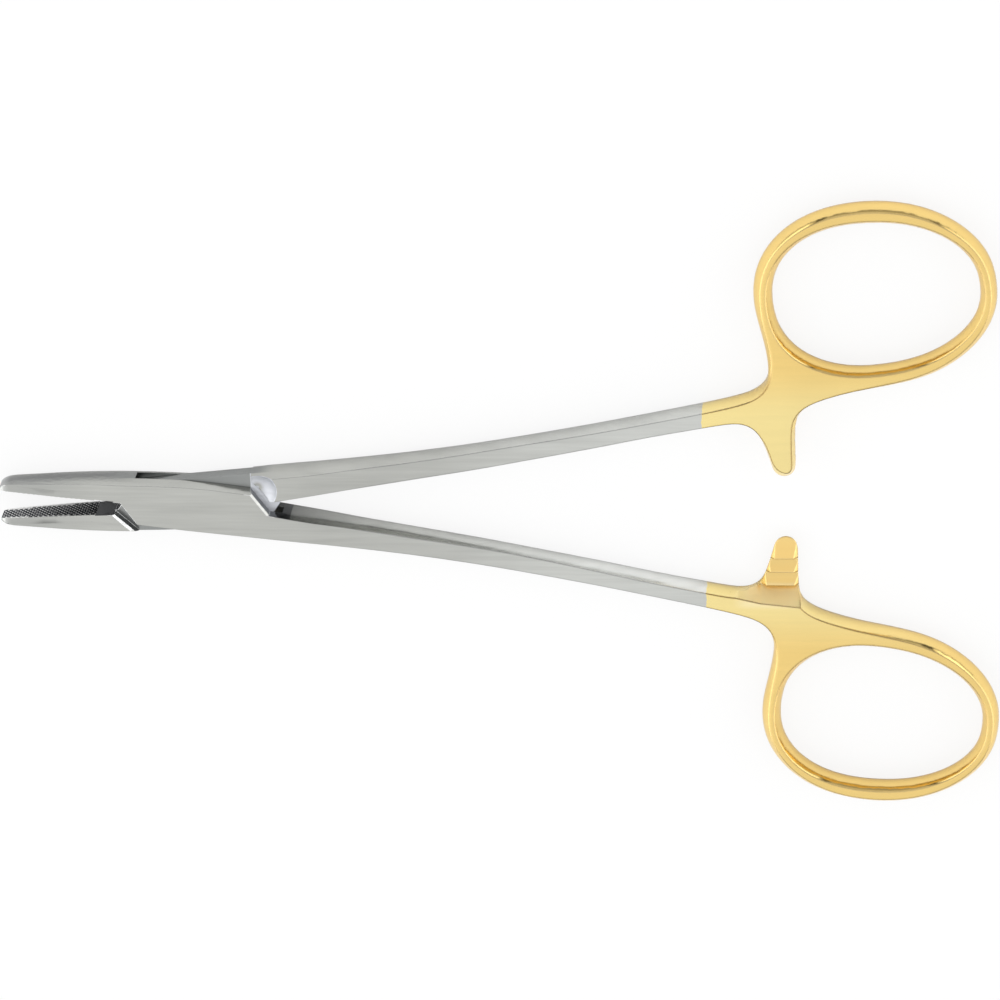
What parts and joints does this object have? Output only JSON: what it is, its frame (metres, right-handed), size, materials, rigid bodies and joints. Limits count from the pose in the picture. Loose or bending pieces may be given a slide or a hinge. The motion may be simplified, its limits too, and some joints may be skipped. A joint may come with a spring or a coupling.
{
  "type": "surgical needle holder",
  "caption": "Box-lock needle holder with serrated carbide jaw faces, tapered shanks, ratchet arms and gold-plated finger rings, lying flat a little open.",
  "frame": {"origin": "on the hinge axis, on the flat underside of the box lock", "axes": "+Z along the hinge axis, up from the underside; +X from the jaw tips towards the finger rings, along the middle line between the halves; +Y towards the upper ring"},
  "size_m": [0.1296, 0.085, 0.0047],
  "materials": {
    "satin_steel": "satin stainless steel; the web, ratchet arm and finger ring of both halves are plated gold",
    "carbide": "sintered tungsten carbide, dark grey, cut with small pyramids on its working face"
  },
  "bodies": {
    "fixed_half": {"box_lock_half": "satin_steel", "upper_jaw_insert": "carbide", "pivot_pin": "satin_steel"},
    "moving_half": {"tongue_half": "satin_steel", "lower_jaw_insert": "carbide"}
  },
  "joints": [
    {"name": "box_lock_hinge", "type": "hinge", "parent": "fixed_half", "child": "moving_half", "pos_m": [0, 0, 0.00235], "axis": [0, 0, 1], "range_deg": [-8.5, 20]}
  ]
}
